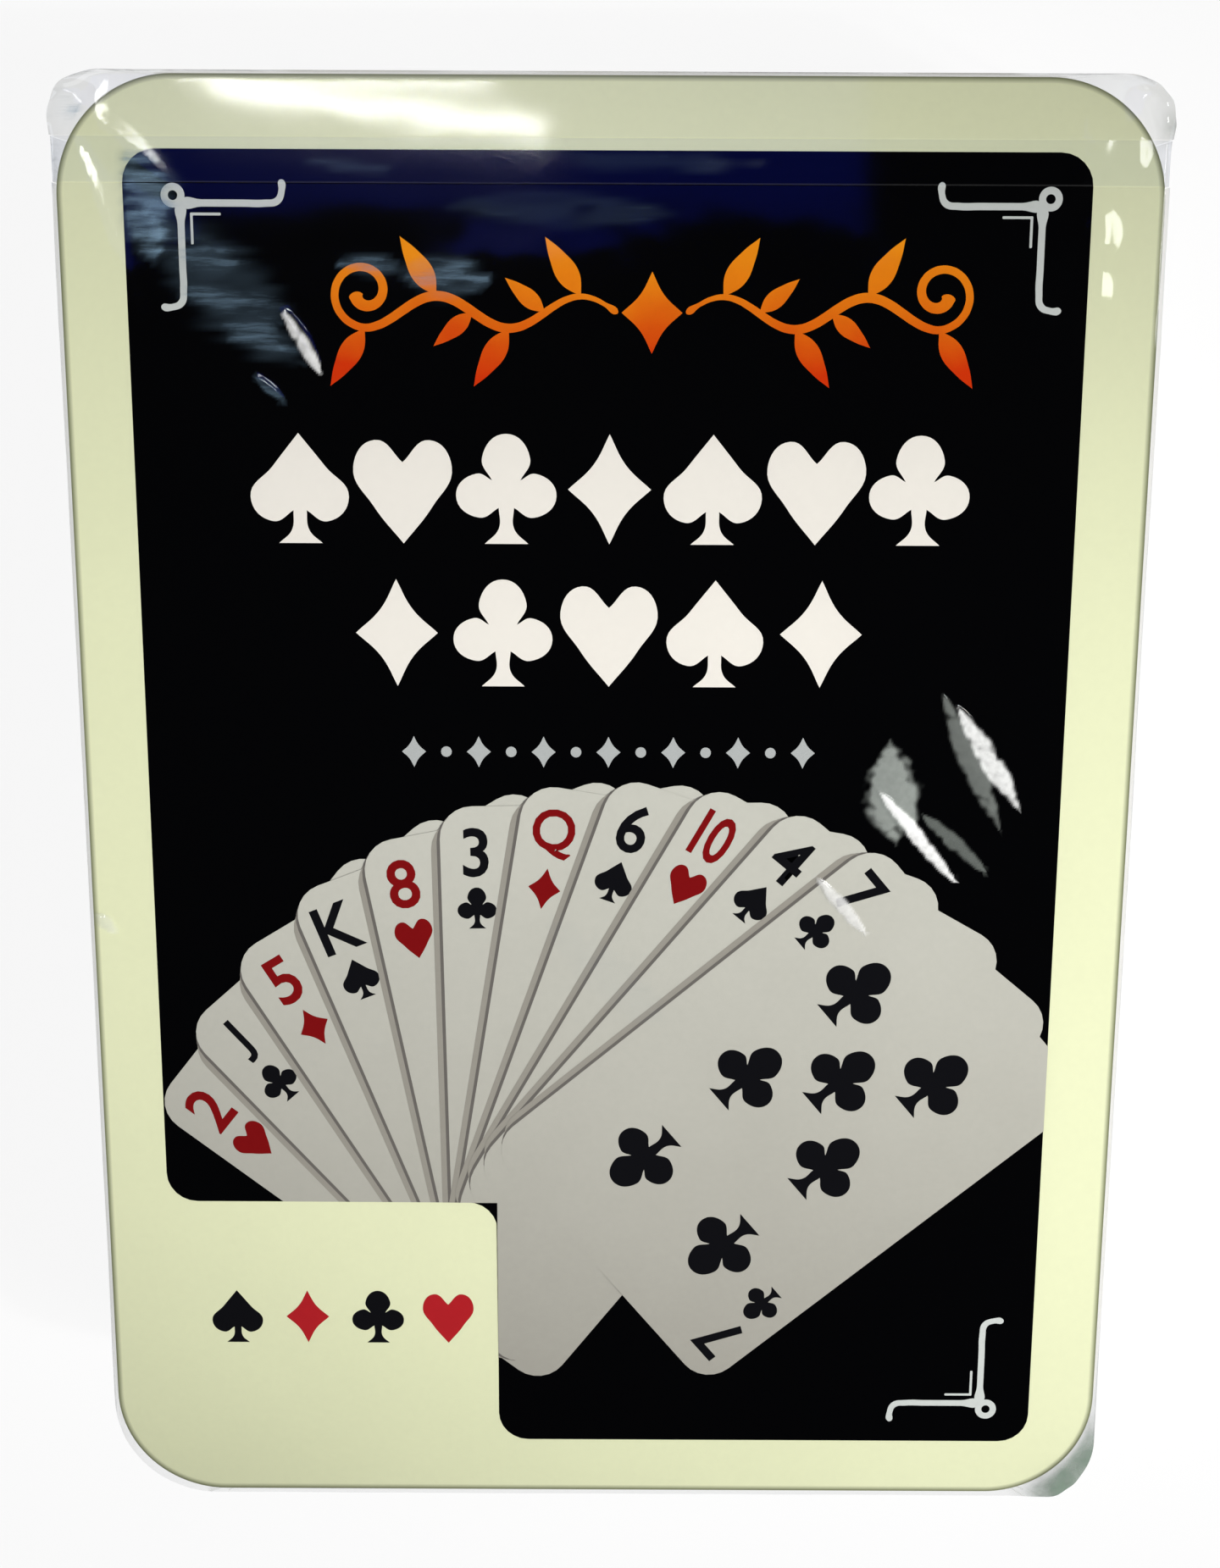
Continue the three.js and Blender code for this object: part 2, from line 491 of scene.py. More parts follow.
def ink_finish(name, colour, roughness=0.38, mottle=0.08, sheen=0.3):
    """One printed ink: its colour with the mottle of the press, and a thin gloss over it."""
    material, tree, shader = new_material("ink_" + name)
    print_on(tree, shader, colour, mottle, roughness, INK_RELIEF)
    shader.inputs["Specular IOR Level"].default_value = sheen
    return material


def faded_ink_finish(name, low_colour, high_colour, low_y, high_y):
    """An ink that changes from one colour to another up the card."""
    material, tree, shader = new_material("ink_" + name)
    place = object_place(tree)
    swing = maths(tree, "SUBTRACT", cloud(tree, place, FADE_SCALE), 0.5)
    up = maths(tree, "ADD", split(tree, place)["Y"], maths(tree, "MULTIPLY", swing, FADE_SWING * MM))
    share = span(tree, up, low_y * MM, high_y * MM)
    colours = sample_colour(*low_colour), sample_colour(*high_colour)
    print_on(tree, shader, mix_colour(tree, share, *colours), 0.08, 0.38)
    shader.inputs["Specular IOR Level"].default_value = SOFT_SHEEN
    return material


PLAIN_INKS = {
    "red": (176, 32, 38), "grey": (177, 180, 178), "silver": (203, 207, 202), "gold": (214, 164, 60),
    "blue": (44, 70, 136), "shadow": (104, 100, 95), "half_shadow": (150, 146, 136),
}
SOFT_INKS = {"soft_red": (122, 14, 16), "soft_black": (14, 14, 17)}
INK = {name: ink_finish(name, sample_colour(*colour)) for name, colour in PLAIN_INKS.items()}
for name, colour in SOFT_INKS.items():
    INK[name] = ink_finish(name, sample_colour(*colour), sheen=SOFT_SHEEN)
INK["black"] = ink_finish("black", (0.0010, 0.0010, 0.0012, 1), 0.5, 0.2, 0.0)
INK["white"] = ink_finish("white", sample_colour(236, 231, 221), 0.4, 0.05)
INK["picture_card"] = faded_ink_finish("picture_card", (164, 161, 151), (194, 193, 182), -36, 2)
INK["ember"] = faded_ink_finish("ember", (208, 52, 4), (245, 150, 18), 28, 35)
print(len(INK), "inks")

# %% [markdown]
# ## Shapes for the print
#
# Ink is modelled as thin flat shapes that lie on the card, a few thousandths of a millimetre over each other.
# Pips are drawn as outlines with few points, as a type designer would, and filled by Blender's own curve
# fill. Panels and picture cards are polygons whose corners are rounded with the bevel operator.


# %% Helpers that make flat shapes
LETTER_WEIGHT, LETTER_SPACING = 0.016, 0.86


def mesh_from(curve):
    """A curve or text as a flat mesh, facing up."""
    holder = bpy.data.objects.new(curve.name, curve)
    mesh = bpy.data.meshes.new_from_object(holder)
    bpy.data.objects.remove(holder)
    shape = bmesh.new()
    shape.from_mesh(mesh)
    bmesh.ops.remove_doubles(shape, verts=shape.verts, dist=1e-5)
    turned_down = [face for face in shape.faces if face.normal.z < 0]
    bmesh.ops.reverse_faces(shape, faces=turned_down)
    shape.to_mesh(mesh)
    shape.free()
    return mesh


def drawn_shape(name, *outlines, steps=8):
    """Fills closed outlines. A point is (x, y) for a corner or (x, y, True) for a smooth stretch."""
    curve = bpy.data.curves.new(name, "CURVE")
    curve.dimensions = "2D"
    curve.fill_mode = "BOTH"
    curve.resolution_u = steps
    for outline in outlines:
        spline = curve.splines.new("BEZIER")
        spline.bezier_points.add(len(outline) - 1)
        spline.use_cyclic_u = True
        for point, (x, y, *smooth) in zip(spline.bezier_points, outline):
            point.co = (x, y, 0)
            point.handle_left_type = point.handle_right_type = "AUTO" if smooth else "VECTOR"
    return mesh_from(curve)


def mirrored(half):
    """An outline from its right half, listed from the bottom up. Points on the middle line aren't doubled."""
    other = [(-point[0], *point[1:]) for point in reversed(half) if point[0] != 0]
    return [*half, *other]


def circle_outline(radius):
    return [(radius, 0, True), (0, radius, True), (-radius, 0, True), (0, -radius, True)]


def rounded_shape(corners, radius, segments=6):
    """A polygon whose corners are round."""
    shape = bmesh.new()
    shape.faces.new([shape.verts.new((x, y, 0)) for x, y in corners])
    bmesh.ops.bevel(
        shape, geom=shape.verts[:], offset=radius, offset_type="OFFSET", segments=segments,
        profile=0.5, affect="VERTICES", material=-1,
    )
    mesh = bpy.data.meshes.new("rounded")
    shape.to_mesh(mesh)
    shape.free()
    return mesh


def box_corners(width, length):
    x, y = width / 2, length / 2
    return [(-x, -y), (x, -y), (x, y), (-x, y)]


def cut_flat(shape, place, outward, clear):
    """Cuts a whole shape with a plane, and clears away what lies outside it if asked."""
    geometry = shape.verts[:] + shape.edges[:] + shape.faces[:]
    bmesh.ops.bisect_plane(shape, geom=geometry, plane_co=place, plane_no=outward, clear_outer=clear)


def brush_stroke(points):
    """A pen stroke through (x, y, half width) points, thick and thin as a broad nib leaves it."""
    right_side, left_side = [], []
    for number, (x, y, half_width) in enumerate(points):
        before = points[max(number - 1, 0)]
        after = points[min(number + 1, len(points) - 1)]
        along = Vector((after[0] - before[0], after[1] - before[1])).normalized()
        right_side.append((x + along.y * half_width, y - along.x * half_width, True))
        left_side.append((x - along.y * half_width, y + along.x * half_width, True))
    return drawn_shape("stroke", right_side + left_side[::-1], steps=6)


def letter_shape(text):
    """A rank's sign one unit high, centred."""
    curve = bpy.data.curves.new("rank_" + text, "FONT")
    curve.body = text
    curve.offset = LETTER_WEIGHT
    curve.resolution_u = 4
    curve.space_character = LETTER_SPACING
    mesh = mesh_from(curve)
    spots = [vertex.co for vertex in mesh.vertices]
    low = Vector((min(spot.x for spot in spots), min(spot.y for spot in spots), 0))
    high = Vector((max(spot.x for spot in spots), max(spot.y for spot in spots), 0))
    unit = 1 / (high.y - low.y)
    mesh.transform(Matrix.Scale(unit, 4) @ Matrix.Translation(-(low + high) / 2))
    return mesh


# %% Draw the four suits, the ranks and the small ornaments
heart = mirrored([(0, -0.5), (0.27, -0.16, True), (0.45, 0.2, True), (0.25, 0.44, True), (0, 0.24)])
spade_leaf = [(0.06, -0.2), (0.25, -0.3, True), (0.45, -0.08, True), (0.24, 0.2, True), (0, 0.5)]
spade_stem = [(0.2, -0.5), (0.08, -0.38, True)]
club_lobes = [
    (0.2, -0.5), (0.07, -0.36, True), (0.07, -0.17), (0.25, -0.26, True), (0.46, -0.06, True),
    (0.27, 0.14, True), (0.13, 0.08), (0.22, 0.28, True), (0, 0.5, True),
]
diamond = mirrored([(0, -0.5), (0.15, -0.22, True), (0.38, 0), (0.15, 0.22, True), (0, 0.5)])
SUIT_SHAPE = {
    "hearts": drawn_shape("heart", heart),
    "spades": drawn_shape("spade", mirrored(spade_stem + spade_leaf)),
    "clubs": drawn_shape("club", mirrored(club_lobes)),
    "diamonds": drawn_shape("diamond", diamond),
}
RANK_SIGNS = {
    "ace": "A", "two": "2", "three": "3", "four": "4", "five": "5", "six": "6", "seven": "7",
    "eight": "8", "nine": "9", "ten": "10", "jack": "J", "queen": "Q", "king": "K",
}
RANK_SHAPE = {rank: letter_shape(sign) for rank, sign in RANK_SIGNS.items()}
RING = drawn_shape("ring", circle_outline(1.0), circle_outline(0.62))
DOT = drawn_shape("dot", circle_outline(1.0))
STAR_POINTS = [
    (math.sin(step * math.pi / 5) * reach, math.cos(step * math.pi / 5) * reach)
    for step, reach in enumerate([0.5, 0.2] * 5)
]
STAR = drawn_shape("star", STAR_POINTS)
print("suit shapes:", {suit: len(mesh.polygons) for suit, mesh in SUIT_SHAPE.items()})


# %% A print that collects shapes on one card
class Print:
    """Flat shapes on one card. Level says how many ink layers a shape lies over the card."""

    LAYER = 0.0025

    def __init__(self, card):
        self.card = card
        self.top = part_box(card)[1].z
        self.shape = bmesh.new()
        self.inks = []

    def stamp(self, shape, at=(0, 0), size=1.0, turn=0.0, ink="black", level=1, narrow=1.0):
        known_verts, known_faces = len(self.shape.verts), len(self.shape.faces)
        self.shape.from_mesh(shape)
        self.shape.verts.ensure_lookup_table()
        self.shape.faces.ensure_lookup_table()
        place = Matrix.Translation((at[0] * MM, at[1] * MM, self.top + level * self.LAYER * MM))
        scaled = Matrix.Diagonal((size * narrow * MM, size * MM, MM, 1))
        place = place @ Matrix.Rotation(turn, 4, "Z") @ scaled
        bmesh.ops.transform(self.shape, matrix=place, verts=self.shape.verts[known_verts:])
        if ink not in self.inks:
            self.inks.append(ink)
        for face in self.shape.faces[known_faces:]:
            face.material_index = self.inks.index(ink)

    def stamp_both_ways(self, shape, at, size, ink, level=1, narrow=1.0):
        """A shape, and its twin turned half round the middle of the card."""
        for half, turn in ((1, 0.0), (-1, math.pi)):
            self.stamp(shape, (half * at[0], half * at[1]), size, turn, ink, level, narrow)

    def finish(self, name):
        piece = new_object(name, self.shape, *[INK[ink] for ink in self.inks])
        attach(piece, self.card)
        return piece


# %% [markdown]
# ## The cover's print
#
# The cover has a black panel with round corners, and a cream notch at the lower left. Light brackets stand in
# three corners. Above is an orange vine, then two rows of large white pips, a thin grey ornament line
# and a fan of cards. The panel is one polygon with every corner rounded, also the inner one at the notch.

# %% Panel and corner brackets
PANEL_LEFT, PANEL_RIGHT = -27.74, 27.38
PANEL_BOTTOM, PANEL_TOP = -40.39, 39.95
NOTCH_RIGHT, NOTCH_TOP = -6.9, -23.9
PANEL_CORNER = 1.9

cover = Print("cover_card")
panel_corners = [
    (NOTCH_RIGHT, PANEL_BOTTOM), (PANEL_RIGHT, PANEL_BOTTOM), (PANEL_RIGHT, PANEL_TOP),
    (PANEL_LEFT, PANEL_TOP), (PANEL_LEFT, NOTCH_TOP), (NOTCH_RIGHT, NOTCH_TOP),
]
cover.stamp(rounded_shape(panel_corners, PANEL_CORNER), ink="black")

EYE = drawn_shape("eye", circle_outline(0.68), circle_outline(0.27))
ARM = [
    (0.5, 0.42, 0.2), (1.6, 0.42, 0.2), (2.8, 0.42, 0.2), (4.0, 0.42, 0.2), (5.2, 0.42, 0.2),
    (5.95, 0.28, 0.2), (6.2, -0.25, 0.18), (6.2, -0.85, 0.13),
]
INNER_CORNER = [(0.95, 0.95), (2.7, 0.95), (2.7, 1.1), (1.1, 1.1), (1.1, 2.7), (0.95, 2.7)]
# Each bracket: where its eye lies, and which way its arms run.
BRACKETS = [((-24.9, 37.4), 1, -1), ((25.0, 37.4), -1, -1), ((24.6, -38.1), -1, 1)]


def bracket(place, right, up):
    """An eye in a corner of the panel, with a hooked arm along each side and a fine inner corner."""
    level_arm = [(right * x, up * y, half_width) for x, y, half_width in ARM]
    upright_arm = [(right * y, up * x, half_width) for x, y, half_width in ARM]
    inner = [(right * x, up * y) for x, y in INNER_CORNER]
    inner = inner if right * up > 0 else inner[::-1]
    cover.stamp(brush_stroke(level_arm), place, ink="silver", level=2)
    cover.stamp(brush_stroke(upright_arm), place, ink="silver", level=3)
    cover.stamp(rounded_shape(inner, 0.05, 2), place, ink="silver", level=2)
    cover.stamp(EYE, place, ink="silver", level=4)


for eye, right, up in BRACKETS:
    bracket(eye, right, up)

# %% Orange vine
VINE_MIDDLE = (2.4, 31.0)
VINE_START, VINE_WAVE, VINE_SWING = 2.0, 8.3, 0.9
VINE_END = VINE_START + 1.75 * VINE_WAVE
CURL_RADIUS, CURL_TURNS = 2.0, 1.2
STEM_THIN, STEM_SWELL, CURL_THIN, CURL_SWELL = 0.08, 0.2, 0.22, 0.16
LEAVES_AT = (0, 1, 2, 3, 4, 6)
LONG_LEAF, SHORT_LEAF = (3.9, 58), (3.0, 40)
VINE_DIAMOND = 4.6
VINE_LEAF = drawn_shape("leaf", [
    (0, 0), (0.32, -0.16, True), (0.7, -0.11, True), (1, 0), (0.7, 0.11, True), (0.32, 0.16, True),
])


def vine_height(x):
    return VINE_SWING * math.sin(2 * math.pi * (x - VINE_START) / VINE_WAVE)


def vine_stem():
    """The waving stem, and the curl that it ends in, as points with half widths."""
    steps = 20
    stem = []
    for step in range(steps):
        x = VINE_START + (VINE_END - VINE_START) * step / steps
        swell = math.sin(math.pi * (step + 1) / (steps + 8))
        stem.append((x, vine_height(x), STEM_THIN + STEM_SWELL * swell))
    for step in range(steps):
        share = step / (steps - 1)
        angle = 2 * math.pi * CURL_TURNS * share - math.pi / 2
        radius = CURL_RADIUS * (1 - 0.75 * share)
        x = VINE_END + radius * math.cos(angle)
        y = CURL_RADIUS - VINE_SWING + radius * math.sin(angle)
        stem.append((x, y, CURL_THIN + CURL_SWELL * share ** 3))
    return stem


for side in (1, -1):
    stem = [(side * x, y, half_width) for x, y, half_width in vine_stem()]
    cover.stamp(brush_stroke(stem), VINE_MIDDLE, ink="ember", level=2)
    for number in LEAVES_AT:
        x = VINE_START + VINE_WAVE * (number + 1) / 4
        up = 1 if number % 4 < 2 else -1
        length, lean = LONG_LEAF if number % 2 == 0 else SHORT_LEAF
        turn = math.radians(lean * up)
        at = (VINE_MIDDLE[0] + side * x, VINE_MIDDLE[1] + vine_height(x))
        cover.stamp(VINE_LEAF, at, length, turn if side == 1 else math.pi - turn, "ember", 3)
cover.stamp(SUIT_SHAPE["diamonds"], VINE_MIDDLE, VINE_DIAMOND, ink="ember", level=4)

# %% Rows of white pips and the grey ornament line
PIP_ROWS = [
    (20.9, 6.4, ["spades", "hearts", "clubs", "diamonds", "spades", "hearts", "clubs"], 6.05),
    (12.4, 6.4, ["diamonds", "clubs", "hearts", "spades", "diamonds"], 6.3),
]
for row_y, pip_size, suits, pitch in PIP_ROWS:
    for column, suit in enumerate(suits):
        across = (column - (len(suits) - 1) / 2) * pitch
        cover.stamp(SUIT_SHAPE[suit], (across, row_y), pip_size, ink="white", level=2)

ORNAMENT_Y, ORNAMENT_PITCH, ORNAMENT_STEPS = 5.2, 1.95, 6
LINE_DIAMOND, LINE_DOT = 1.9, 0.32
for step in range(-ORNAMENT_STEPS, ORNAMENT_STEPS + 1):
    shape, size = (SUIT_SHAPE["diamonds"], LINE_DIAMOND) if step % 2 == 0 else (DOT, LINE_DOT)
    cover.stamp(shape, (step * ORNAMENT_PITCH, ORNAMENT_Y), size, ink="grey", level=2)

# %% [markdown]
# The fan is built as a real fan is dealt: each card is turned a step further round one point near the bottom,
# and lies over the one before. A soft dark edge under each card gives the look of a photograph. What would
# stand out past the panel is cut off with planes, and what lies in the notch is deleted.

# %% Fan of cards on the cover
FAN_POINT = (1.0, -27.0)
FAN_CARD = (21.5, 31.0)
FAN_RADIUS = 13.5
FAN_FROM, FAN_TO = 52.0, -50.0
FAN_HAND = [
    ("two", "hearts"), ("jack", "clubs"), ("five", "diamonds"), ("king", "spades"), ("eight", "hearts"),
    ("three", "clubs"), ("queen", "diamonds"), ("six", "spades"), ("ten", "hearts"), ("four", "spades"),
    ("seven", "clubs"),
]
FAN_CORNER = 2.0
# The dark edge and the paler shade beside each card: how far out they lie, and how much shorter they are.
FAN_EDGE, FAN_SHADE = (0.2, 0.4), (0.55, 1.4)
FAN_INDEX_X, FAN_RANK_Y, FAN_SUIT_Y = 8.6, 12.6, 9.1
FAN_RANK, FAN_PIP, FRONT_PIP = 3.1, 2.6, 4.8
FRONT_PLACES = [(-3.9, 8.6), (3.9, 8.6), (0, 4.3), (-3.9, 0), (3.9, 0), (-3.9, -8.6), (3.9, -8.6)]
RED_SUITS = ("hearts", "diamonds")
fan_blank, fan_edge, fan_shade = [
    rounded_shape(box_corners(FAN_CARD[0], FAN_CARD[1] - shorter), FAN_CORNER)
    for shorter in (0.0, FAN_EDGE[1], FAN_SHADE[1])
]

fan = Print("cover_card")


def fan_place(angle, x, y):
    """A point of a fan card, given from the card's own middle, as a place on the cover."""
    at = Matrix.Rotation(angle, 2) @ Vector((x, FAN_RADIUS + y))
    return (FAN_POINT[0] + at.x, FAN_POINT[1] + at.y)


level = 2
for number, (rank, suit) in enumerate(FAN_HAND):
    angle = math.radians(FAN_FROM + (FAN_TO - FAN_FROM) * number / (len(FAN_HAND) - 1))
    ink = "soft_red" if suit in RED_SUITS else "soft_black"
    if number > 0:
        fan.stamp(fan_shade, fan_place(angle, -FAN_SHADE[0], 0), turn=angle, ink="half_shadow", level=level)
        fan.stamp(fan_edge, fan_place(angle, -FAN_EDGE[0], 0), turn=angle, ink="shadow", level=level + 1)
    fan.stamp(fan_blank, fan_place(angle, 0, 0), turn=angle, ink="picture_card", level=level + 2)
    narrow = 0.72 if rank == "ten" else 0.95
    for end, turn in ((1, angle), (-1, angle + math.pi)):
        rank_at = fan_place(angle, -end * FAN_INDEX_X, end * FAN_RANK_Y)
        pip_at = fan_place(angle, -end * FAN_INDEX_X, end * FAN_SUIT_Y)
        fan.stamp(RANK_SHAPE[rank], rank_at, FAN_RANK, turn, ink, level + 3, narrow)
        fan.stamp(SUIT_SHAPE[suit], pip_at, FAN_PIP, turn, ink, level + 3)
    level += 4
front_angle = math.radians(FAN_TO)
for x, y in FRONT_PLACES:
    turn = front_angle if y >= 0 else front_angle + math.pi
    fan.stamp(SUIT_SHAPE["clubs"], fan_place(front_angle, x, y), FRONT_PIP, turn, "soft_black", level)

# %% Trim the fan to the panel
EDGE_PLANES = [
    ((PANEL_LEFT, 0), (-1, 0), True), ((PANEL_RIGHT, 0), (1, 0), True), ((0, PANEL_BOTTOM), (0, -1), True),
    ((NOTCH_RIGHT, 0), (1, 0), False), ((0, NOTCH_TOP), (0, 1), False),
]
for (x, y), (nx, ny), clear in EDGE_PLANES:
    cut_flat(fan.shape, (x * MM, y * MM, 0), (nx, ny, 0), clear)
in_notch = [
    face for face in fan.shape.faces
    if face.calc_center_median().x < NOTCH_RIGHT * MM and face.calc_center_median().y < NOTCH_TOP * MM
]
bmesh.ops.delete(fan.shape, geom=in_notch, context="FACES")

# %% A row of pips in the notch
NOTCH_FIRST_PIP, NOTCH_PITCH, NOTCH_PIP = (-23.6, -31.8), 4.5, 3.6
for number, suit in enumerate(("spades", "diamonds", "clubs", "hearts")):
    ink = "red" if suit in RED_SUITS else "soft_black"
    at = (NOTCH_FIRST_PIP[0] + NOTCH_PITCH * number, NOTCH_FIRST_PIP[1])
    cover.stamp(SUIT_SHAPE[suit], at, NOTCH_PIP, ink=ink, level=2)

cover.finish("cover_print")
fan.finish("cover_fan_print")
print("the fan reaches", level, "ink layers over the cover")

# %% [markdown]
# ## The faces of the cards
#
# Each card carries its rank and suit in two opposite corners. Number cards have their pips in the usual
# columns, and the lower half is the upper half turned round. Court cards get a framed crown over two large
# pips, and the jokers a star.

# %% Print the faces
INDEX_X, RANK_Y, SUIT_Y = 26.4, 38.9, 33.0
RANK_HEIGHT, INDEX_PIP, FACE_PIP = 5.2, 4.4, 11.0
ACE_PIP = 2.2 * FACE_PIP
COLUMN, ROW_TOP = 11.5, 27.0
THIRD, HALF = ROW_TOP / 3, ROW_TOP / 2
TOPS, MIDDLES, THIRDS = [[(-COLUMN, y), (COLUMN, y)] for y in (ROW_TOP, 0, THIRD)]
PIP_PLACES = {
    "ace": [(0, 0)],
    "two": [(0, ROW_TOP)],
    "three": [(0, ROW_TOP), (0, 0)],
    "four": TOPS,
    "five": [*TOPS, (0, 0)],
    "six": [*TOPS, *MIDDLES],
    "seven": [*TOPS, *MIDDLES, (0, HALF)],
    "eight": [*TOPS, *MIDDLES, (0, HALF)],
    "nine": [*TOPS, *THIRDS, (0, 0)],
    "ten": [*TOPS, *THIRDS, (0, 2 * THIRD)],
}
NOT_TURNED = {("seven", (0, HALF))}
FRAME_WIDTH, FRAME_LENGTH, FRAME_LINE = 41.0, 66.0, 0.5
# Court ornaments in the upper half: place and size.
COURT_PIPS = [((-14, 25), 10), ((2, 8), 12)]
CROWN_AT, CROWN_SIZE = (2, 20), 24
JEWELS = {"jack": 1, "queen": 2, "king": 3}
JEWELS_AT, JEWEL_PITCH, JEWEL_SIZE = (2, 14.6), 4.4, 1.0
JOKER_STAR, JOKER_RING, JOKER_INDEX = 30, 21, 5.6
CROWN = drawn_shape("crown", mirrored([
    (0, -0.32), (0.4, -0.32), (0.5, 0.2), (0.27, -0.08), (0.2, 0.3), (0, 0),
]))


def print_court(face, suit, ink, rank):
    upright = rounded_shape(box_corners(FRAME_LINE, FRAME_LENGTH), FRAME_LINE / 4, 1)
    level_side = rounded_shape(box_corners(FRAME_WIDTH, FRAME_LINE), FRAME_LINE / 4, 1)
    face.stamp_both_ways(upright, (FRAME_WIDTH / 2, 0), 1.0, "blue")
    face.stamp_both_ways(level_side, (0, FRAME_LENGTH / 2), 1.0, "blue")
    for place, size in COURT_PIPS:
        face.stamp_both_ways(SUIT_SHAPE[suit], place, size, ink)
    face.stamp_both_ways(CROWN, CROWN_AT, CROWN_SIZE, "gold")
    for jewel in range(JEWELS[rank]):
        across = JEWELS_AT[0] + (jewel - (JEWELS[rank] - 1) / 2) * JEWEL_PITCH
        face.stamp_both_ways(DOT, (across, JEWELS_AT[1]), JEWEL_SIZE, "red", 2)


def print_joker(face, ink):
    face.stamp(STAR, (0, 0), JOKER_STAR, ink=ink)
    face.stamp(RING, (0, 0), JOKER_RING, ink="gold")
    face.stamp_both_ways(STAR, (-INDEX_X, RANK_Y - 1), JOKER_INDEX, ink)


def print_number(face, suit, ink, rank):
    size = ACE_PIP if rank == "ace" else FACE_PIP
    for x, y in PIP_PLACES[rank]:
        face.stamp(SUIT_SHAPE[suit], (x, y), size, 0, ink)
        if y > 0 and (rank, (x, y)) not in NOT_TURNED:
            face.stamp(SUIT_SHAPE[suit], (-x, -y), size, math.pi, ink)


def print_face(card):
    face = Print(card)
    rank, _, suit = card.partition("_of_")
    ink = "red" if suit in RED_SUITS or card == "joker_red" else "soft_black"
    if suit:
        narrow = 0.7 if rank == "ten" else 0.92
        face.stamp_both_ways(RANK_SHAPE[rank], (-INDEX_X, RANK_Y), RANK_HEIGHT, ink, 1, narrow)
        face.stamp_both_ways(SUIT_SHAPE[suit], (-INDEX_X, SUIT_Y), INDEX_PIP, ink)
        print_middle = print_court if rank in JEWELS else print_number
        print_middle(face, suit, ink, rank)
    else:
        print_joker(face, ink)
    return face.finish(card + "_print")


faces = [print_face(card) for card in CARDS]
print(len(faces), "printed faces,", sum(len(face.data.polygons) for face in faces), "polygons")

# %% [markdown]
# ## The clear film
#
# The film is one sheet folded round the deck, and it is only drawn tight where the cards hold it out. Past
# the cards' round corners it stands free, so its own corners are squarer and crumple. The mesh starts as a
# box of small squares, its plan corners are drawn in by a formula, and then each point is lifted a little by
# creases listed by place, and by a slow noise. Sleeve, tape and cap are cut from the same box, so they meet.

# %% Film sizes, loose corners and creases
FILM_CELL = 1.4
FRONT_CUTS = 3
CREASE_CUTS = 2
FILM_LIFT = 0.05
HAIR = 0.01
# Waves in the film: height in millimetres, and pace. Near the top edge the front is drawn taut.
BROAD_WAVE, NARROW_WAVE, TAUT_WAVE = (0.05, 0.11), (0.012, 0.6), (0.0035, 0.35)
STAND_OFF = 0.02
TAUTNESS, TAUT_FROM_TO = 0.95, (33, 37)
# The film's corners crumple only near the front: from this height to that.
EAR_FROM_TO = (11.5, 16.5)
LOOSE_CORNERS = {(-1, 1): 3.0, (1, 1): 3.0, (1, -1): 3.8, (-1, -1): 6.4}
# Each crease: from, to, half width, height, how scuffed it is (partly painted reflection), how white (partly
# painted glint).
CREASES = [
    ((-30.2, 42.4), (-24.5, 37.5), 0.8, 0.03, 0.0, 0.0),
    ((-30.6, 41.0), (-27.0, 30.0), 0.6, 0.06, 0.0, 0.0),
    ((-18.8, 31.1), (-16.6, 27.3), 0.36, 0.12, 0.0, 0.7),
    ((-20.6, 27.4), (-18.7, 25.8), 0.3, 0.05, 0.3, 0.0),
    ((30.4, 42.6), (26.0, 38.0), 0.8, 0.05, 0.0, 0.0),
    ((27.3, 42.4), (27.5, 39.8), 0.9, 0.070, 0.0, 0.0),
    ((29.6, 41.2), (29.8, 38.9), 0.6, 0.050, 0.0, 0.0),
    ((27.8, 37.2), (28.0, 34.0), 0.9, 0.070, 0.0, 0.0),
    ((27.9, 33.8), (28.0, 31.0), 0.6, 0.046, 0.0, 0.0),
    ((26.3, 35.2), (26.5, 34.8), 0.3, 0.028, 0.0, 0.0),
    ((16.9, 6.0), (17.5, -0.4), 1.5, 0.10, 0.50, 0.05),
    ((16.2, 3.1), (21.3, -2.9), 0.4, 0.16, 0.0, 0.85),
    ((18.9, 1.6), (23.1, -2.2), 0.42, 0.06, 0.26, 0.0),
    ((20.8, 8.2), (25.0, 1.6), 0.56, 0.14, 0.1, 0.68),
    ((19.9, 9.0), (23.8, 0.4), 0.62, 0.10, 0.26, 0.03),
    ((12.5, -2.3), (15.9, -6.1), 0.4, 0.12, 0.0, 0.55),
    ((-4.0, -5.0), (4.0, -12.5), 1.4, 0.10, 0.06, 0.0),
    ((-31.4, -5.0), (-30.2, -6.2), 0.45, 0.14, 0.1, 0.2),
    ((27.6, -43.6), (12.0, -42.8), 0.5, 0.08, 0.0, 0.0),
]
# Scuffed places without a crease, which carry painted reflection: from, to, half width, how scuffed.
SCUFFS_AND_REFLECTIONS = [
    ((-27.2, 41.2), (-26.0, 33.6), 1.6, 0.46),
    ((-26.4, 36.4), (-17.6, 28.0), 2.0, 0.22),
    ((-24.8, 34.2), (-21.2, 33.5), 0.85, 0.16),
    ((-24.8, 32.0), (-20.6, 31.5), 0.6, 0.14),
    ((-22.4, 30.0), (-18.2, 29.2), 0.95, 0.14),
    ((-15.9, 33.8), (-11.6, 33.4), 0.5, 0.34),
    ((-12.2, 33.2), (-6.6, 32.8), 1.0, 0.44),
    ((-17.4, 39.3), (-11.8, 38.7), 0.3, 0.22),
    ((-4.0, 39.4), (9.0, 39.2), 0.5, 0.12),
    ((-9.6, 36.9), (4.0, 36.5), 0.8, 0.14),
]
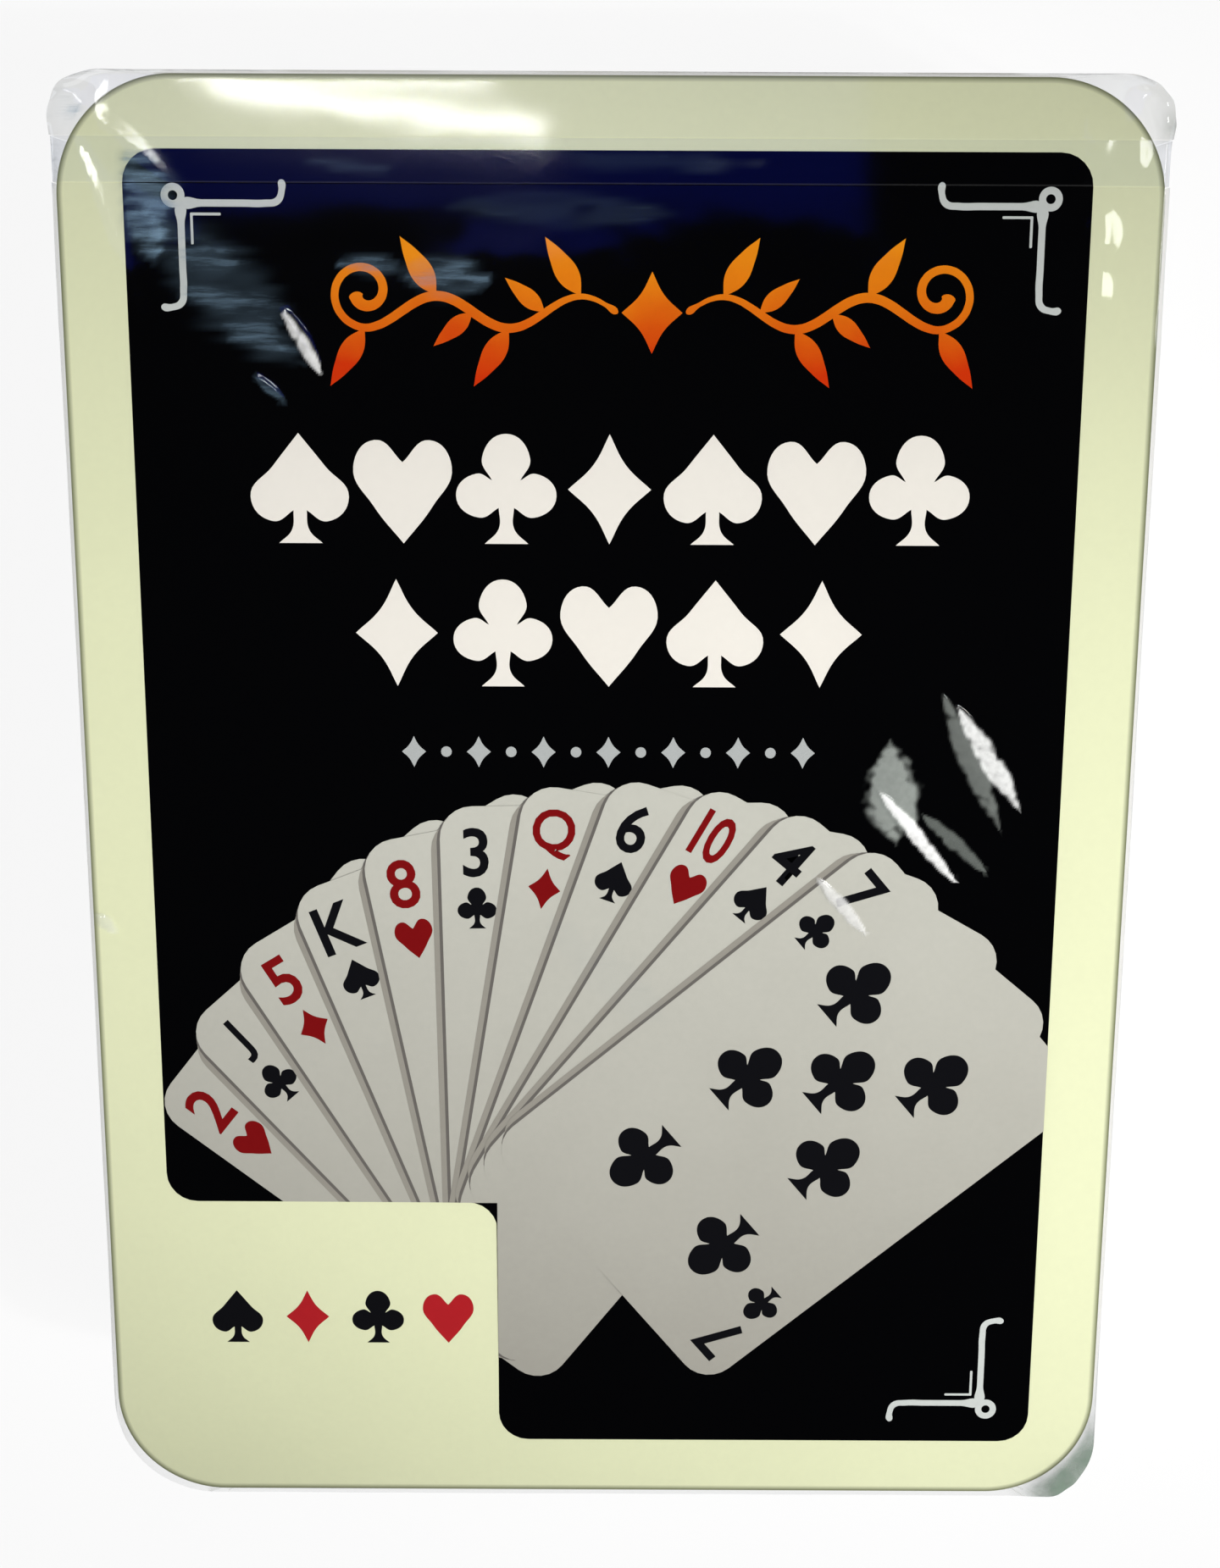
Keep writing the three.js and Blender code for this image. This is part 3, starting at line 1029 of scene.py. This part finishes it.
# Corners that stick out: place, reach, outward move, how scuffed past the cards, greyed as painted shade and
# reflection.
EARS = [
    ((29.4, -43.6), 1.5, 0.30, 1.0),
    ((31.3, -41.2), 1.9, 0.0, 0.9),
    ((-31.4, 43.0), 1.6, 0.45, 0.12),
    ((-30.1, 41.9), 0.7, 0.1, 0.45),
    ((-31.6, 38.8), 1.4, 0.0, 0.4),
    ((31.2, 43.0), 1.6, 0.45, 0.12),
    ((31.9, 41.4), 0.7, 0.20, 0.4),
]


def ease(value, low, high):
    """Nought below low, one above high, and a smooth rise between."""
    share = min(max((value - low) / (high - low), 0.0), 1.0)
    return share * share * (3 - 2 * share)


def along_line(x, y, start, end, width):
    """One on a line, falling softly to nothing beside it. The band is a leaf: its ends are pointed."""
    run_x, run_y = end[0] - start[0], end[1] - start[1]
    along = ((x - start[0]) * run_x + (y - start[1]) * run_y) / (run_x * run_x + run_y * run_y)
    along = min(max(along, 0.0), 1.0)
    away = math.hypot(x - start[0] - along * run_x, y - start[1] - along * run_y)
    leaf_width = width * max(1 - (2 * along - 1) ** 2, 0.06) ** 0.7
    if away > 3 * leaf_width:
        return 0.0
    return math.exp(-((away / leaf_width) ** 2)) * (1 - 0.7 * abs(2 * along - 1) ** 3)


def outside_card(x, y):
    """How far a place lies outside the cards' round-cornered outline, in millimetres."""
    past_x, past_y = abs(x) - (HALF_WIDTH - CARD_CORNER), abs(y) - (HALF_LENGTH - CARD_CORNER)
    return math.hypot(max(past_x, 0), max(past_y, 0)) + min(max(past_x, past_y), 0) - CARD_CORNER


def wave(spot, height, pace):
    """A smooth noise of some height, which changes the faster along the film the greater its pace."""
    return height * noise.noise(spot * pace)


def film_marks(x, y, z, on_front):
    """How far the film stands off at a place, how scuffed it is there, and how white.
    The scuff carries painted reflection and painted shade, and the white is partly painted glints.
    """
    spot = Vector((x, y, z))
    slack = 1 - TAUTNESS * ease(y, *TAUT_FROM_TO) if on_front else 1.0
    waves = slack * (wave(spot, *BROAD_WAVE) + wave(spot, *NARROW_WAVE))
    lift = max(STAND_OFF + waves + wave(spot, *TAUT_WAVE), 0.0)
    rubbed = white = 0.0
    loose = ease(outside_card(x, y), -0.1, 0.4)
    # The loose corners are scuffed and greyed, as painted shade and reflection.
    for (ear_x, ear_y), reach, move, grey in EARS:
        share = math.exp(-((math.hypot(x - ear_x, y - ear_y) / reach) ** 2)) * ease(z, *EAR_FROM_TO)
        lift += move * share * (0.7 + wave(spot, 0.6, 0.9))
        rubbed += grey * share * loose * (0.8 + wave(spot, 0.5, 1.7))
    if not on_front:
        return lift, rubbed, white
    ragged = wave(spot, 0.5, 2.2) + wave(spot, 0.7, 0.8)
    # Creases scuff and whiten the film; part of that is painted reflection and painted glint.
    for start, end, width, height, rub, whitening_and_glint in CREASES:
        share = along_line(x, y, start, end, width)
        lift += height * share
        crisp = ease(share * (1 + ragged), 0.2, 0.6)
        rubbed += rub * crisp
        white += whitening_and_glint * crisp
    over_panel = ease(x, PANEL_LEFT - 0.3, PANEL_LEFT + 0.2) * ease(y, PANEL_TOP + 0.1, PANEL_TOP - 0.4)
    patchy = noise.noise(Vector((0.35 * x, 2.2 * y, 0)))
    # Scuffs over the panel, partly painted reflection of the window.
    for start, end, width, rub in SCUFFS_AND_REFLECTIONS:
        share = along_line(x, y, start, end, width)
        rubbed += rub * over_panel * ease(share * (1 + 1.1 * patchy), 0.08, 0.75)
    return lift, min(rubbed, 0.9), min(white, 0.9)


# %% Make the film box
INWARD = Vector((FILM_LIFT, FILM_LIFT, FILM_LIFT)) * MM
FILM_LOW = SLEEVE_LOW + INWARD
FILM_HIGH = Vector((SLEEVE_HIGH.x, CAP_HIGH.y, SLEEVE_HIGH.z)) - INWARD


def draw_in_corner(point):
    """Moves a point of the square box onto the film's own plan corners."""
    sides = (1 if point.x > 0 else -1, 1 if point.y > 0 else -1)
    radius = LOOSE_CORNERS[sides] * MM
    middle = Vector((sides[0] * (FILM_HIGH.x - radius), sides[1] * (FILM_HIGH.y - radius)))
    out = Vector((point.x, point.y)) - middle
    if out.x * sides[0] > 0 and out.y * sides[1] > 0:
        out *= max(abs(out.x), abs(out.y)) / out.length
        point.x, point.y = middle + out


# Creases with scuff or painted glint get finer squares.
def near_crease_with_painted_light(spot):
    return any(
        along_line(spot.x, spot.y, start, end, 2 * width) > 0.02
        for start, end, width, height, rub, whitening_and_glint in CREASES if rub + whitening_and_glint > 0.15
    )


def film_box():
    film = box_between(FILM_LOW, FILM_HIGH)
    size = FILM_HIGH - FILM_LOW
    for axis in range(3):
        along = [
            edge for edge in film.edges
            if abs((edge.verts[0].co - edge.verts[1].co)[axis]) > 0.5 * size[axis]
        ]
        cuts = round(size[axis] / (FILM_CELL * MM)) - 1
        bmesh.ops.subdivide_edges(film, edges=along, cuts=cuts, use_grid_fill=True)
    top = FILM_HIGH.z - HAIR * MM
    front = [edge for edge in film.edges if all(vertex.co.z > top for vertex in edge.verts)]
    bmesh.ops.subdivide_edges(film, edges=front, cuts=FRONT_CUTS, use_grid_fill=True)
    creased = [
        edge for edge in film.edges
        if all(vertex.co.z > top and near_crease_with_painted_light(vertex.co / MM) for vertex in edge.verts)
    ]
    bmesh.ops.subdivide_edges(film, edges=creased, cuts=CREASE_CUTS, use_grid_fill=True)
    rubbed_layer = film.verts.layers.float.new("rubbed")
    white_and_glint_layer = film.verts.layers.float.new("white")
    for vertex in film.verts:
        draw_in_corner(vertex.co)
    film.normal_update()
    moves = []
    for vertex in film.verts:
        lift, vertex[rubbed_layer], vertex[white_and_glint_layer] = film_marks(*(vertex.co / MM), vertex.co.z > top)
        moves.append(0.0 if vertex.co.z < FILM_LOW.z + HAIR * MM else lift)
    for vertex, lift in zip(film.verts, moves):
        vertex.co += vertex.normal * lift * MM
    return film


def keep_between(film, low_y, high_y):
    """Cuts a copy of the film square across, and keeps what lies between two places along the deck."""
    part = film.copy()
    for place, outward in ((low_y, -1), (high_y, 1)):
        if place is not None:
            cut_flat(part, (0, place, 0), (0, outward, 0), True)
    return part


# %% [markdown]
# The film's finish is clear by a Transparent shader and mirrors by a Glossy one. How much it mirrors depends
# only on the slant of the view, and it is the same from both sides, because the film is far too thin to trap
# light as a block of plastic would. Where it is scuffed or creased, a milky layer shows. Its colour is partly
# painted reflection, bluish on the left where the window stands and grey-green on the right where folds catch
# the lamps, and darker at the crumpled low corners as painted shade. The white on creases is partly painted
# glint.

# %% Film finish
FILM_MIRROR, MIRROR_ROUGHNESS = 0.06, 0.055
STREAK_SCALE = (150.0, 1500.0, 600.0)
GRAIN_SCALE, RIPPLE_SCALE = 2400.0, 700.0
# Colours of the milky layer over real scuffing: painted reflection of the window on the left and of the lamps
# in the folds on the right, and painted shade at the crumpled low corners.
LEFT_SCUFF_AND_WINDOW_REFLECTION = (0.23, 0.36, 0.48, 1)
RIGHT_SCUFF_AND_LAMP_REFLECTION = (0.40, 0.44, 0.40, 1)
LOW_CORNER_SCUFF_AND_PAINTED_SHADE = (0.17, 0.23, 0.18, 1)
CREASE_WHITE_AND_GLINT = (0.9, 0.9, 0.88, 1)


def film_finish(name, tint):
    material, tree, unused = new_material(name)
    tree.nodes.remove(unused)
    place = object_place(tree)
    parts = split(tree, place)
    rightward = span(tree, parts["X"], 4 * MM, 12 * MM)
    leftward = maths(tree, "SUBTRACT", 1.0, rightward)

    drawn = add_node(tree, "ShaderNodeMapping", {"Vector": place, "Scale": STREAK_SCALE}).outputs[0]
    streak = cloud(tree, drawn, 1.0, 8.0, 0.72)
    grain = cloud(tree, place, GRAIN_SCALE, 4.0)
    rubbed = add_node(tree, "ShaderNodeAttribute", attribute_name="rubbed").outputs["Fac"]
    edge = maths(tree, "SUBTRACT", 0.6, maths(tree, "MULTIPLY", rubbed, 0.45))
    scratched = span(tree, streak, edge, maths(tree, "ADD", edge, 0.2), 0.28, 1.15)
    lines = maths(tree, "MULTIPLY", scratched, leftward)
    specks = maths(tree, "MULTIPLY", span(tree, grain, 0.3, 0.7, 0.94, 1.05), rightward)
    rubbed = maths(tree, "MULTIPLY", rubbed, maths(tree, "ADD", lines, specks))
    # The white marks are partly whitened creases and partly painted glints and highlights.
    white = add_node(tree, "ShaderNodeAttribute", attribute_name="white").outputs["Fac"]
    white = maths(tree, "MULTIPLY", white, span(tree, grain, 0.35, 0.65, 0.85, 1.08))
    haze_and_painted_light = maths(tree, "ADD", rubbed, white, clamp=True)
    white_and_glint_share = maths(tree, "DIVIDE", white, maths(tree, "MAXIMUM", haze_and_painted_light, 0.001))
    # The milky colour carries the painted reflections, and painted shade towards the low end.
    painted_light_and_milk_colour = mix_colour(tree, rightward, LEFT_SCUFF_AND_WINDOW_REFLECTION, RIGHT_SCUFF_AND_LAMP_REFLECTION)
    painted_shade_near_bottom = span(tree, parts["Y"], -35 * MM, -41 * MM)
    painted_light_and_milk_colour = mix_colour(tree, painted_shade_near_bottom, painted_light_and_milk_colour, LOW_CORNER_SCUFF_AND_PAINTED_SHADE)
    painted_light_and_milk_colour = mix_colour(tree, white_and_glint_share, painted_light_and_milk_colour, CREASE_WHITE_AND_GLINT)

    ripple = cloud(tree, place, RIPPLE_SCALE, 3.0)
    rippled = {"Height": ripple, "Distance": 0.02 * MM, "Strength": 0.03}
    normal = add_node(tree, "ShaderNodeBump", rippled).outputs[0]
    slant = add_node(tree, "ShaderNodeLayerWeight", {"Blend": 0.5, "Normal": normal}).outputs["Facing"]
    mirrored_share = span(tree, maths(tree, "POWER", slant, 5.0), 0.0, 1.0, FILM_MIRROR, 1.0)

    clear = add_node(tree, "ShaderNodeBsdfTransparent", {"Color": tint}).outputs[0]
    milk = add_node(tree, "ShaderNodeBsdfDiffuse", {"Color": painted_light_and_milk_colour}).outputs[0]
    glossy = {"Roughness": MIRROR_ROUGHNESS, "Normal": normal}
    mirror = add_node(tree, "ShaderNodeBsdfAnisotropic", glossy).outputs[0]
    whole = mix_shader(tree, mirrored_share, mix_shader(tree, haze_and_painted_light, clear, milk), mirror)
    tree.links.new(whole, tree.nodes["Material Output"].inputs["Surface"])
    return material


CLEAR_FILM = film_finish("clear_film", (0.985, 0.988, 0.99, 1))
TEAR_FILM = film_finish("tear_film", (0.95, 0.96, 0.985, 1))


# %% Cut the sleeve, the tape and the cap
FOLD_RADIUS, FOLD_STEPS = 0.25, 3
# The white along the tape's cut edges is a painted highlight.
TAPE_RIM_HIGHLIGHT = 0.03


def finish_film(name, shape, material, body, *nodes):
    piece = new_object(name, shape, material)
    for polygon in piece.data.polygons:
        polygon.use_smooth = True
    rounded = piece.modifiers.new("folded edge", "BEVEL")
    rounded.width = FOLD_RADIUS * MM
    rounded.segments = FOLD_STEPS
    rounded.limit_method = "ANGLE"
    rounded.angle_limit = math.radians(50)
    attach(piece, body)
    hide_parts(*nodes)
    return piece


TAPE_LOW, TAPE_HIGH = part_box("tear_tape")
whole_film = film_box()
sleeve_shape = keep_between(whole_film, None, SLEEVE_HIGH.y)
tape_shape = keep_between(whole_film, TAPE_LOW.y, TAPE_HIGH.y)
cap_shape = keep_between(whole_film, CAP_LOW.y, None)
whole_film.free()
# Painted highlight along the tape's cut edges.
tape_highlight_layer = tape_shape.verts.layers.float["white"]
for vertex in tape_shape.verts:
    if vertex.is_boundary:
        vertex[tape_highlight_layer] = TAPE_RIM_HIGHLIGHT

# %% [markdown]
# At both ends the film is folded like the ends of a parcel: two side tucks, then the flap from the back, then
# the flap from the front over it, sealed where they overlap. Down the back runs one overlapped seam. Welded
# clear film looks like one layer, and only the folded and cut edges catch the light. So each edge is scored
# into the film's own mesh: three cuts side by side, with a painted highlight in white on the middle one.

# %% Score the folds of the ends and the back seam
# The white on the middle cut of each fold is a painted highlight.
LINE_WIDTH, FOLD_LINE_HIGHLIGHT = 0.13, 0.3
CELL_REACH = 1.2 * FILM_CELL * MM
FACES_WALL = 0.8
FOLD_INSET = 0.4
BACK_FLAP_PAST, FRONT_FLAP_PAST = 2.6, 3.4
FLAP_ROOT, FLAP_TIP, TUCK_TIP = 0.8, 9.4, 8.4


def score(film, start, end, wall):
    """Draws one folded edge, from start to end, on the flat side of the film that faces along wall."""
    start, end, wall = Vector(start) * MM, Vector(end) * MM, Vector(wall)
    run = end - start
    beside = wall.cross(run).normalized()
    white = film.verts.layers.float["white"]
    film.normal_update()
    for offset in (-LINE_WIDTH, LINE_WIDTH, 0.0):
        near = []
        for face in film.faces:
            if face.normal.dot(wall) > FACES_WALL:
                out = face.calc_center_median() - start
                if abs(out.dot(beside)) < CELL_REACH and 0 < out.dot(run) < run.dot(run):
                    near.append(face)
        edges = {edge for face in near for edge in face.edges}
        corners = {vertex for face in near for vertex in face.verts}
        cut = bmesh.ops.bisect_plane(
            film, geom=[*near, *edges, *corners], plane_co=start + beside * offset * MM, plane_no=beside
        )
        # Painted highlight on the middle cut.
        if offset == 0:
            for vertex in cut["geom_cut"]:
                if isinstance(vertex, bmesh.types.BMVert):
                    vertex[white] = FOLD_LINE_HIGHLIGHT


def score_end(film, end_y, left, right, outward):
    """The edges of two tucks and two flaps over one end of the deck."""
    low, high = FILM_LOW.z / MM + FOLD_INSET, FILM_HIGH.z / MM - FOLD_INSET
    middle = (low + high) / 2
    for root, tip in ((low, middle + BACK_FLAP_PAST), (high, middle - FRONT_FLAP_PAST)):
        edges = [((left + FLAP_TIP, tip), (right - FLAP_TIP, tip))]
        for side, inward in ((left, 1), (right, -1)):
            edges.append(((side, root), (side + inward * TUCK_TIP, middle)))
            edges.append(((side + inward * FLAP_ROOT, root), (side + inward * FLAP_TIP, tip)))
        for (x, z), (to_x, to_z) in edges:
            score(film, (x, end_y, z), (to_x, end_y, to_z), (0, outward, 0))


LOW_END, HIGH_END = FILM_LOW.y / MM, FILM_HIGH.y / MM
FILM_SIDE = FILM_HIGH.x / MM
score_end(sleeve_shape, LOW_END, -FILM_SIDE + LOOSE_CORNERS[-1, -1], FILM_SIDE - LOOSE_CORNERS[1, -1], -1)
score_end(cap_shape, HIGH_END, -FILM_SIDE + LOOSE_CORNERS[-1, 1], FILM_SIDE - LOOSE_CORNERS[1, 1], 1)
SEAM_EDGES = (6.0, 10.5)
for shape, low_y, high_y in (
    (sleeve_shape, LOW_END, SLEEVE_HIGH.y / MM),
    (tape_shape, TAPE_LOW.y / MM, TAPE_HIGH.y / MM),
    (cap_shape, CAP_LOW.y / MM, HIGH_END),
):
    for x in SEAM_EDGES:
        score(shape, (x, low_y, FILM_LOW.z / MM), (x, high_y, FILM_LOW.z / MM), (0, 0, -1))

# %% Finish the film pieces
sleeve = finish_film("sleeve_film", sleeve_shape, CLEAR_FILM, "film_sleeve", "film_sleeve")
tape = finish_film("tape_film", tape_shape, TEAR_FILM, "film_cap", "tear_tape")
cap = finish_film("cap_film", cap_shape, CLEAR_FILM, "film_cap", "film_cap")
dress("tear_tab", TEAR_FILM)
print("film:", [len(piece.data.polygons) for piece in (sleeve, cap, tape)], "faces")
